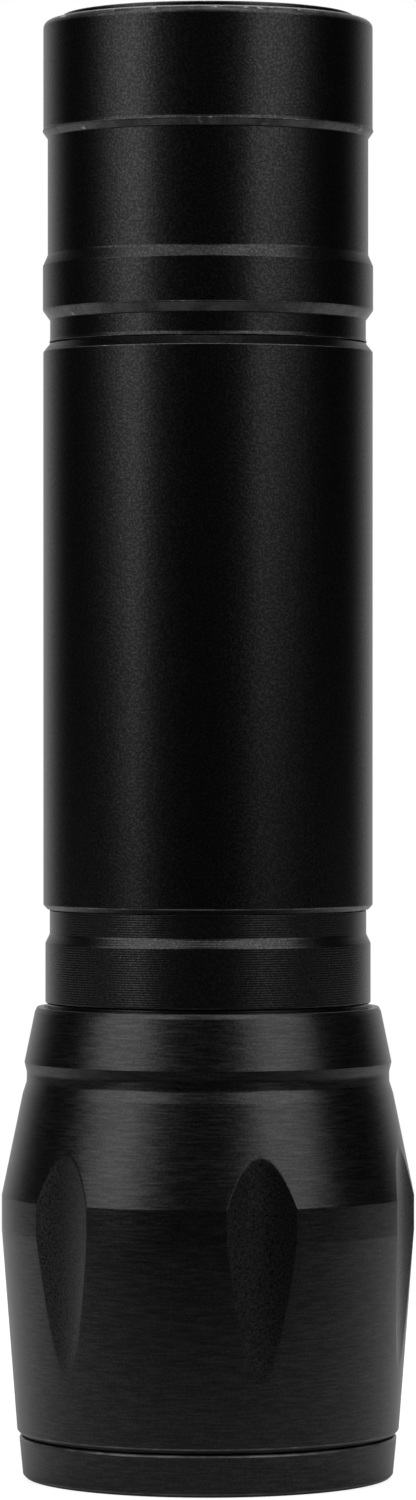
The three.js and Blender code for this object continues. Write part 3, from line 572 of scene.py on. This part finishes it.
# Neck
# A turned aluminium sleeve that the head slides on. Its rear end shows as a finely striped band
# and an open groove, and its spigot is screwed into the grip tube.
neck_front, neck_spigot_rear = (corner.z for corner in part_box("neck"))
neck_shoulder = 38.05 * mm
neck_band_rear = 42.9 * mm
neck_groove_front = 43.62 * mm
neck_rear = 45.52 * mm
pill_bore_rear = 33.19 * mm
zoom_seal_front, zoom_seal_rear = 26.49 * mm, 27.69 * mm
zoom_seal_floor = 11.987 * mm
slide_radius = 12.827 * mm
neck_band_radius = 13.087 * mm
neck_groove_radius = 12.737 * mm
spigot_radius = 12.347 * mm
spigot_edge = 0.25 * mm
bore_radius = 11.297 * mm
pill_bore_radius = 10.897 * mm
neck_edge = 0.3 * mm
neck_band_edge = 0.12 * mm
stripe_pitch = 0.19 * mm
neck_outline = rounded([
    (pill_bore_radius, neck_front, broken_edge),
    (slide_radius - neck_edge, neck_front, broken_edge),
    (slide_radius, neck_front + neck_edge, 0.15 * mm),
    (slide_radius, zoom_seal_front, crisp_edge),
    (zoom_seal_floor, zoom_seal_front, broken_edge),
    (zoom_seal_floor, zoom_seal_rear, broken_edge),
    (slide_radius, zoom_seal_rear, crisp_edge),
    (slide_radius, neck_shoulder, sharp_edge),
    (neck_band_radius - neck_band_edge, neck_shoulder, 0.04 * mm),
    (neck_band_radius, neck_shoulder + neck_band_edge, 0.06 * mm),
    (neck_band_radius, neck_band_rear, 0.3 * mm),
    (neck_groove_radius, neck_groove_front, 0.5 * mm),
    (neck_groove_radius, neck_rear, sharp_edge),
    (spigot_radius, neck_rear, sharp_edge),
    (spigot_radius, neck_spigot_rear - spigot_edge, broken_edge),
    (spigot_radius - spigot_edge, neck_spigot_rear, broken_edge),
    (bore_radius, neck_spigot_rear, broken_edge),
    (bore_radius, pill_bore_rear, broken_edge),
    (pill_bore_radius, pill_bore_rear, broken_edge),
])


def striped_black():
    """Black anodising over fine parallel tool marks, with blasted grain between. The wave runs
    through 20 radians in a unit of its scale, which sets the scale for the stripes' pitch."""
    material, shader = node_finish("striped_black", (0.001, 0.001, 0.001), 0.31, level=0.42)
    tree = material.node_tree
    place = tree.nodes.new("ShaderNodeTexCoord")
    wave = tree.nodes.new("ShaderNodeTexWave")
    wave.bands_direction = "Z"
    wave.inputs["Scale"].default_value = 2 * math.pi / 20 / stripe_pitch
    wave.inputs["Distortion"].default_value = 0.6
    wave.inputs["Detail"].default_value = 1.0
    tree.links.new(place.outputs["Object"], wave.inputs["Vector"])
    grain = add_noise(material, scale=6000, detail=1.0)
    worn_and_sheen_black(material, shader, grain)
    relief(material, shader, [(wave.outputs["Fac"], 0.005 * mm), (grain, 0.006 * mm)])
    return material


add_piece(
    "neck_turned", revolved(neck_outline, even_turns()),
    striped_black(), "neck", "barrel",
)

# Grip tube
# A plain aluminium tube, blasted and anodised black, with a screwed socket in each end and a
# chamfer at its rear edge.
tube_front, tube_rear = (corner.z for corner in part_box("body_tube"))
tube_radius = 13.247 * mm
socket_radius = 12.467 * mm
tube_front_edge = 0.35 * mm
tube_rear_chamfer = (0.55 * mm, 0.69 * mm)
front_socket_end = 51.52 * mm
rear_socket_end = 84.25 * mm
tube_outline = rounded([
    (socket_radius, tube_front, sharp_edge),
    (tube_radius - tube_front_edge, tube_front, crisp_edge),
    (tube_radius, tube_front + tube_front_edge, 0.2 * mm),
    (tube_radius, tube_rear - tube_rear_chamfer[1], 0.12 * mm),
    (tube_radius - tube_rear_chamfer[0], tube_rear, sharp_edge),
    (socket_radius, tube_rear, sharp_edge),
    (socket_radius, rear_socket_end, broken_edge),
    (bore_radius, rear_socket_end, broken_edge),
    (bore_radius, front_socket_end, broken_edge),
    (socket_radius, front_socket_end, broken_edge),
])


def blasted_black():
    """Black anodising over a blasted surface: a fine even grain that breaks up the highlights."""
    material, shader = node_finish("blasted_black", (0.001, 0.001, 0.001), 0.3, level=0.4)
    grain = add_noise(material, scale=5600, detail=1.0)
    worn_and_sheen_black(material, shader, grain, gloss=(0.25, 0.52))
    relief(material, shader, [(grain, 0.008 * mm)])
    return material


blasted_finish = blasted_black()
add_piece(
    "body_tube_blasted", revolved(tube_outline, even_turns()),
    blasted_finish, "body_tube", "barrel",
)

# Cell carrier
# Two black plastic plates joined by three posts hold the cells. Plated contacts close both ends
# of the carrier, and each cell stands between a flat contact and a spring.
cell_wire, cell_spring_turns = 0.5 * mm, 2
nickel_finish = grained("nickel_plate", (0.60, 0.58, 0.54), (0.70, 0.68, 0.64), 0.24, 1.0)
dress(
    plastic_finish, "carrier_front_plate", "carrier_rear_plate",
    "carrier_post_1", "carrier_post_2", "carrier_post_3",
)
dress(
    nickel_finish, "carrier_front_contact", "carrier_rear_contact",
    "cell_contact_1", "cell_contact_2", "cell_contact_3",
)
for cell_spring in ("cell_spring_1", "cell_spring_2", "cell_spring_3"):
    add_piece(
        cell_spring + "_wound", coil(cell_spring, cell_wire, cell_spring_turns),
        spring_finish, cell_spring, "barrel",
    )

# Cells
# Three AAA cells: a steel can in a plain sleeve, bare at both ends, with a nub at the positive
# end. The second one faces the other way, as cells joined in series do.
cell_radius = 5.1 * mm
nub_radius = 1.9 * mm
nub_height = 0.9 * mm
cell_rim = 0.3 * mm


def filled(corners, steps=6):
    """A rounded outline that starts and ends on the axis, level with its first and last corners."""
    front, rear = (0, corners[0][1], 0), (0, corners[-1][1], 0)
    return rounded([front, *corners, rear], steps=steps)[steps + 1:-steps - 1]


def cell_shape(node, flip):
    """A cell's outline carried round the middle of its node's box, upside down where flip is
    set. Wear marks the bare metal of its ends."""
    low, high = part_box(node)
    shoulder = high.z - nub_height
    outline = filled([
        (cell_radius - 2 * cell_rim, low.z, broken_edge),
        (cell_radius, low.z + cell_rim, 0.2 * mm),
        (cell_radius, shoulder - cell_rim, 0.3 * mm),
        (cell_radius - cell_rim, shoulder, broken_edge),
        (nub_radius + cell_rim, shoulder, 0.2 * mm),
        (nub_radius, high.z, 0.25 * mm),
    ])
    outline[:, 2] = outline[:, 0] < cell_radius - 1.5 * cell_rim
    if flip:
        outline[:, 1] = low.z + high.z - outline[:, 1]
        outline = outline[::-1]
    points, faces, marks = revolved(outline, even_turns(72), capped=True)
    return points + [(low.x + high.x) / 2, (low.y + high.y) / 2, 0], faces, marks


def cell_wrap():
    """A satin blue-grey sleeve with the can's bare steel at its ends."""
    material, shader = node_finish("cell_wrap", (0.06, 0.09, 0.12), 0.32)
    bare = read_mark(material, "wear_and_sheen")
    mix = material.node_tree.nodes.new("ShaderNodeMix")
    mix.data_type = "RGBA"
    mix.inputs["B"].default_value = (0.62, 0.61, 0.58, 1)
    grain = add_noise(material, scale=900)
    tint(material, grain, (0.055, 0.08, 0.11), (0.075, 0.105, 0.14), mix.inputs["A"])
    material.node_tree.links.new(bare, mix.inputs["Factor"])
    material.node_tree.links.new(mix.outputs["Result"], shader.inputs["Base Color"])
    material.node_tree.links.new(bare, shader.inputs["Metallic"])
    relief(material, shader, [(grain, 0.003 * mm)])
    return material


wrap_finish = cell_wrap()
for cell_node, nub_down in (("cell_1", True), ("cell_2", False), ("cell_3", True)):
    add_piece(
        cell_node + "_wrapped", cell_shape(cell_node, nub_down),
        wrap_finish, cell_node, "barrel",
    )

# Tail cap
# A turned and blasted aluminium cap with three bands and a raised end lip. Its spigot carries a
# right-hand thread of 1 mm pitch and the groove of the rubber ring.
cap_spigot_front, lip_top = (corner.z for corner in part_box("tail_cap"))
cap_front = 91.13 * mm
cap_groove_rear = 92.91 * mm
cap_ring_front, cap_ring_rear = 93.72 * mm, 97.26 * mm
cap_waist_front, cap_waist_rear = 98.15 * mm, 107.5 * mm
cap_end_front = 108.09 * mm
tail_shoulder = 116.94 * mm
web_front, web_rear = 113.58 * mm, 115.48 * mm
tail_seal_front, tail_seal_rear = 89.53 * mm, 90.53 * mm
tail_seal_floor = 11.747 * mm
cap_groove_radius = 12.697 * mm
cap_foot_flare = 0.09 * mm
cap_ring_radius = 13.277 * mm
cap_waist_radius = 12.887 * mm
cap_end_radius = 13.237 * mm
cap_end_flare = 0.07 * mm
cap_end_flare_length = 0.2 * mm
cap_end_round = 0.75 * mm
lip_radius = 11.737 * mm
recess_radius = 8.897 * mm
recess_edge = 0.25 * mm
boot_hole_radius = 7.047 * mm
thread_pitch = 1 * mm
thread_depth = 0.42 * mm
thread_flank = 2.2
thread_front, thread_rear = 85.1 * mm, 88.9 * mm
thread_rows = np.linspace(thread_front - 0.2 * mm, thread_rear + 0.4 * mm, 90)
# The corners of cap_outline, counted from 0, that its two downward chamfers start from. These
# chamfers face the floor, and the wear mark paints the floor's reflection on them as a grey colour.
floor_sheen_chamfers = (10, 14)


def threaded(radius, height, turns):
    """A right-hand thread cut into the spigot: the groove's depth follows the hyperbolic tangent
    of a sine of the height less the turn's share of the pitch, which is steeper with
    thread_flank, and fades out over the last turn at each end."""
    phase = height / thread_pitch - turns / (2 * np.pi)
    groove = 0.5 - 0.5 * np.tanh(thread_flank * np.sin(2 * np.pi * phase)) / math.tanh(thread_flank)
    fade = np.clip((height - thread_front) / thread_pitch, 0, 1)
    fade = fade * np.clip((thread_rear - height) / thread_pitch, 0, 1)
    on_spigot = (np.abs(radius - spigot_radius) < 0.01 * mm) & (height < tail_seal_front)
    return radius - thread_depth * groove * np.sqrt(fade) * on_spigot


cap_outline = with_rows(
    rounded([
        (bore_radius, cap_spigot_front, broken_edge),
        (spigot_radius - spigot_edge, cap_spigot_front, crisp_edge),
        (spigot_radius, cap_spigot_front + spigot_edge, 0.06 * mm),
        (spigot_radius, tail_seal_front, 0.06 * mm),
        (tail_seal_floor, tail_seal_front, crisp_edge),
        (tail_seal_floor, tail_seal_rear, crisp_edge),
        (spigot_radius, tail_seal_rear, 0.06 * mm),
        (spigot_radius, cap_front, sharp_edge),
        (cap_groove_radius + cap_foot_flare, cap_front, sharp_edge),
        (cap_groove_radius, cap_front + 3 * cap_foot_flare, 0.3 * mm),
        (cap_groove_radius, cap_groove_rear, 0.12 * mm),
        (cap_ring_radius, cap_ring_front, 0.2 * mm),
        (cap_ring_radius, cap_ring_rear, 0.12 * mm),
        (cap_waist_radius, cap_waist_front, 0.45 * mm),
        (cap_waist_radius, cap_waist_rear, broken_edge),
        (cap_end_radius + cap_end_flare, cap_end_front, 0.15 * mm),
        (cap_end_radius, cap_end_front + cap_end_flare_length, 0.2 * mm),
        (cap_end_radius, tail_shoulder, cap_end_round),
        (lip_radius, tail_shoulder, 0.12 * mm),
        (lip_radius, lip_top, 0.12 * mm),
        (recess_radius + recess_edge, lip_top, crisp_edge),
        (recess_radius, lip_top - recess_edge, broken_edge),
        (recess_radius, web_rear, 0.15 * mm),
        (boot_hole_radius, web_rear, broken_edge),
        (boot_hole_radius, web_front, broken_edge),
        (bore_radius, web_front, broken_edge),
    ], painted_sheen_sides=floor_sheen_chamfers),
    thread_rows, spigot_radius, cap_spigot_front + 2 * spigot_edge,
    spigot_radius, tail_seal_front - spigot_edge,
)
add_piece(
    "tail_cap_blasted", revolved(cap_outline, even_turns(), threaded),
    blasted_finish, "tail_cap", "tail_unit",
)

# Switch
# A black plastic switch on a green board sits in a sleeve in the cap, held by a slotted
# aluminium ring. Its plunger is pushed back by a small spring, and a wider one meets the cells.
plunger_front, plunger_top = (corner.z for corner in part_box("switch_plunger"))
plunger_shoulder = 114.28 * mm
plunger_radius = 4.397 * mm
plunger_stem_radius = 2.3 * mm
tail_wire, tail_spring_turns = 0.8 * mm, 3.5
return_wire, return_spring_turns = 0.4 * mm, 3
dress(aluminium_finish, "switch_retainer")
dress(green_finish, "switch_board")
dress(plastic_finish, "switch_case", "switch_holder")
plunger_outline = filled([
    (plunger_stem_radius, plunger_front, 0.3 * mm),
    (plunger_stem_radius, plunger_shoulder, 0.2 * mm),
    (plunger_radius, plunger_shoulder, 0.3 * mm),
    (plunger_radius, plunger_top, 0.5 * mm),
])
add_piece(
    "switch_plunger_moulded", revolved(plunger_outline, even_turns(72), capped=True),
    plastic_finish, "switch_plunger", "switch_button",
)
add_piece(
    "tail_spring_wound", coil("tail_spring", tail_wire, tail_spring_turns),
    spring_finish, "tail_spring", "tail_unit",
)
return_spring = add_piece(
    "switch_spring_wound", coil("switch_spring", return_wire, return_spring_turns),
    spring_finish, "switch_spring", "tail_unit",
)
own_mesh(return_spring)

# Switch boot
# A soft black rubber cap that closes the tail cap's hole. Its flange is clamped under the web,
# and its top gives way under the thumb.
boot_front, boot_top = (corner.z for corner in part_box("switch_boot"))
boot_ceiling = 115.83 * mm
boot_flange_rear = 113.53 * mm
boot_radius = 6.897 * mm
boot_flange_radius = 9.597 * mm
boot_cavity_radius = 5.697 * mm
boot_rib_pitch = 1.5 * mm
boot_rib_height = 0.12 * mm
boot_top_round = 1 * mm
boot_ribbed_radius = 5.6 * mm
boot_reach = np.linspace(boot_ribbed_radius, 0, 61)
boot_ribs = boot_rib_height * (0.5 - 0.5 * np.cos(2 * np.pi * boot_reach / boot_rib_pitch))
boot_outline = np.concatenate([
    filled([
        (boot_cavity_radius, boot_ceiling, 0.4 * mm),
        (boot_cavity_radius, boot_front, 0.2 * mm),
        (boot_flange_radius, boot_front, 0.15 * mm),
        (boot_flange_radius, boot_flange_rear, 0.15 * mm),
        (boot_radius, boot_flange_rear, 0.2 * mm),
        (boot_radius, boot_top, boot_top_round),
    ])[:-2, :2],
    np.stack([boot_reach, boot_top - boot_ribs], axis=1),
])
boot = add_piece(
    "switch_boot_moulded", revolved(boot_outline, even_turns(160), capped=True),
    rubber_finish, "switch_boot", None,
)
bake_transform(boot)

# Studio
# A white sweep with the light standing on it, a tall soft box at each side in front of it, a
# smaller one above these, and one behind that lights the sweep.
floor_radius = 0.6
floor_drop = 0.06 * mm
floor_fade = (0.14, 0.5)
floor_near = (0.035, 0.075)
floor_behind = (-0.08, 0.02)
floor_dark, floor_mid, floor_pale = 0.08, 0.5, 0.9
light_middle = 0.06


def pale_floor():
    """A pale floor that is white to the camera and through the lens, and keeps the shadow there.
    To all else it is a grey that is paler behind the light and darker in front of it, and paler
    again close to the light, a painted pool of light for the metal to reflect. It is clear from
    below and towards its rim."""
    material = bpy.data.materials.new("pale_floor")
    material.use_nodes = True
    tree = material.node_tree
    tree.nodes.clear()
    output = tree.nodes.new("ShaderNodeOutputMaterial")
    place = tree.nodes.new("ShaderNodeTexCoord")
    parts = tree.nodes.new("ShaderNodeSeparateXYZ")
    reach = tree.nodes.new("ShaderNodeVectorMath")
    reach.operation = "LENGTH"
    side = tree.nodes.new("ShaderNodeNewGeometry")
    path = tree.nodes.new("ShaderNodeLightPath")
    lit = tree.nodes.new("ShaderNodeBsdfDiffuse")
    shadowed = tree.nodes.new("ShaderNodeBsdfDiffuse")
    shadowed.inputs["Color"].default_value = (0.3, 0.3, 0.3, 1)
    white = tree.nodes.new("ShaderNodeEmission")
    white.inputs["Strength"].default_value = 0.86
    picture = tree.nodes.new("ShaderNodeAddShader")
    ground = tree.nodes.new("ShaderNodeMixShader")
    clear = tree.nodes.new("ShaderNodeBsdfTransparent")
    edge = tree.nodes.new("ShaderNodeMixShader")
    fade = ramped(material, reach.outputs["Value"], floor_fade, (0, 1), smooth=True)
    # A painted pool of light: close to the light the floor's grey is paler, for the metal to reflect.
    near = ramped(material, reach.outputs["Value"], floor_near, (floor_mid, floor_dark), smooth=True)
    behind = ramped(material, parts.outputs["Y"], floor_behind, (floor_dark, floor_pale))
    grey = combined(material, "MAXIMUM", behind, near)
    hidden = combined(material, "MAXIMUM", fade, side.outputs["Backfacing"])
    seen = combined(
        material, "MAXIMUM", path.outputs["Is Camera Ray"], path.outputs["Is Transmission Ray"],
    )
    for source, target in (
        (place.outputs["Object"], reach.inputs[0]),
        (place.outputs["Object"], parts.inputs["Vector"]),
        (grey, lit.inputs["Color"]),
        (white.outputs["Emission"], picture.inputs[0]),
        (shadowed.outputs["BSDF"], picture.inputs[1]),
        (seen, ground.inputs["Fac"]),
        (lit.outputs["BSDF"], ground.inputs[1]),
        (picture.outputs["Shader"], ground.inputs[2]),
        (hidden, edge.inputs["Fac"]),
        (ground.outputs["Shader"], edge.inputs[1]),
        (clear.outputs["BSDF"], edge.inputs[2]),
        (edge.outputs["Shader"], output.inputs["Surface"]),
    ):
        tree.links.new(source, target)
    return material


floor_turns = even_turns(96)
floor_points = floor_radius * np.stack(
    [np.cos(floor_turns), np.sin(floor_turns), np.zeros_like(floor_turns)], axis=1
)
floor_points[:, 2] = -floor_drop
floor_mesh = bpy.data.meshes.new("floor")
floor_mesh.from_pydata(floor_points.tolist(), [], [list(range(len(floor_turns)))])
floor_mesh.materials.append(pale_floor())
floor = bpy.data.objects.new("floor", floor_mesh)
bpy.context.scene.collection.objects.link(floor)


def soft_box(name, azimuth, elevation, width, height, radiance, lean=0, distance=0.75):
    """A soft box that faces the middle of the light: azimuth in degrees from the camera's side
    towards +X, elevation above the light's middle, lean in its own plane, and a power of pi times
    its area for each unit of radiance."""
    lamp = bpy.data.lights.new(name, "AREA")
    lamp.shape = "RECTANGLE"
    lamp.size = width
    lamp.size_y = height
    lamp.energy = math.pi * width * height * radiance
    box = bpy.data.objects.new(name, lamp)
    turn = math.radians(azimuth)
    rise = math.radians(elevation)
    box.location = (
        distance * math.cos(rise) * math.sin(turn),
        -distance * math.cos(rise) * math.cos(turn),
        light_middle + distance * math.sin(rise),
    )
    box.rotation_euler = (math.pi / 2 - rise, math.radians(lean), turn)
    box.visible_camera = False
    bpy.context.scene.collection.objects.link(box)


soft_box("soft_box_left", azimuth=-58, elevation=31, lean=28, width=0.6, height=0.7, radiance=2.65)
soft_box("soft_box_right", azimuth=48, elevation=33, lean=-16, width=0.58, height=0.68, radiance=2.55)
soft_box("soft_box_behind", azimuth=180, elevation=55, distance=0.9, width=0.5, height=0.5, radiance=2.4)
soft_box("soft_box_top", azimuth=0, elevation=62, width=0.5, height=0.3, radiance=2)

# The world is white to the camera and through the lens, and a pale sweep behind to all else.
world = bpy.data.worlds.new("studio")
world.use_nodes = True
world_nodes = world.node_tree.nodes
background = world_nodes["Background"]
background.inputs["Color"].default_value = (1, 1, 1, 1)
direction = world_nodes.new("ShaderNodeTexCoord")
direction_parts = world_nodes.new("ShaderNodeSeparateXYZ")
world_path = world_nodes.new("ShaderNodeLightPath")
sweep = ramped(world, direction_parts.outputs["Y"], (0.52, 0.95), (0.012, 0.7), smooth=True)
shown = combined(world, "MAXIMUM", sweep, world_path.outputs["Is Camera Ray"])
shown = combined(world, "MAXIMUM", shown, world_path.outputs["Is Transmission Ray"])
world.node_tree.links.new(direction.outputs["Generated"], direction_parts.inputs["Vector"])
world.node_tree.links.new(shown, background.inputs["Strength"])
bpy.context.scene.world = world
bpy.context.scene.view_settings.view_transform = "Standard"

# Camera
# A long lens half a metre in front of the light's axis, level with the middle of the grip tube
# and turned down a little.
eye = (0, -0.511, 0.0624)
target_height = 0.0584
camera_data = bpy.data.cameras.new("camera")
camera_data.sensor_width = 36
camera_data.lens = 152.4
camera = bpy.data.objects.new("camera", camera_data)
camera.location = eye
camera.rotation_euler = (math.pi / 2 + math.atan2(target_height - eye[2], -eye[1]), 0, 0)
bpy.context.scene.collection.objects.link(camera)
bpy.context.scene.camera = camera
